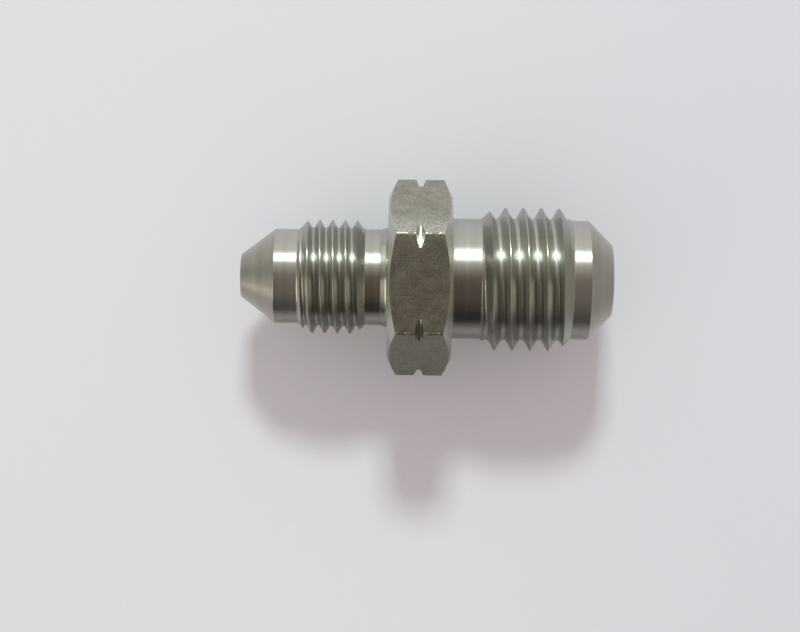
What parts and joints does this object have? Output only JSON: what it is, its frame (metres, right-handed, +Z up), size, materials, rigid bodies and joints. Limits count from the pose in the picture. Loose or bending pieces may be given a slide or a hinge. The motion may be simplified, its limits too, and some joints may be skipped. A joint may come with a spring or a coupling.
{
  "type": "hydraulic adapter",
  "caption": "Straight male to male reducing adapter in one piece, with a fine thread and a cone at each end and a grooved hexagon between them.",
  "frame": {"origin": "under the middle of the adapter's length, on the surface that one flat of its hexagon lies on", "axes": "+X along the adapter's axis towards the larger threaded end, +Y across it towards a corner of the hexagon, +Z up out of the top flat of the hexagon"},
  "size_m": [0.031, 0.0164, 0.0143],
  "materials": {
    "turned_steel": "bright turned stainless steel, with a duller drawn skin on the flats of the hexagon"
  },
  "bodies": {
    "root": {"adapter_body": "turned_steel"}
  },
  "joints": []
}
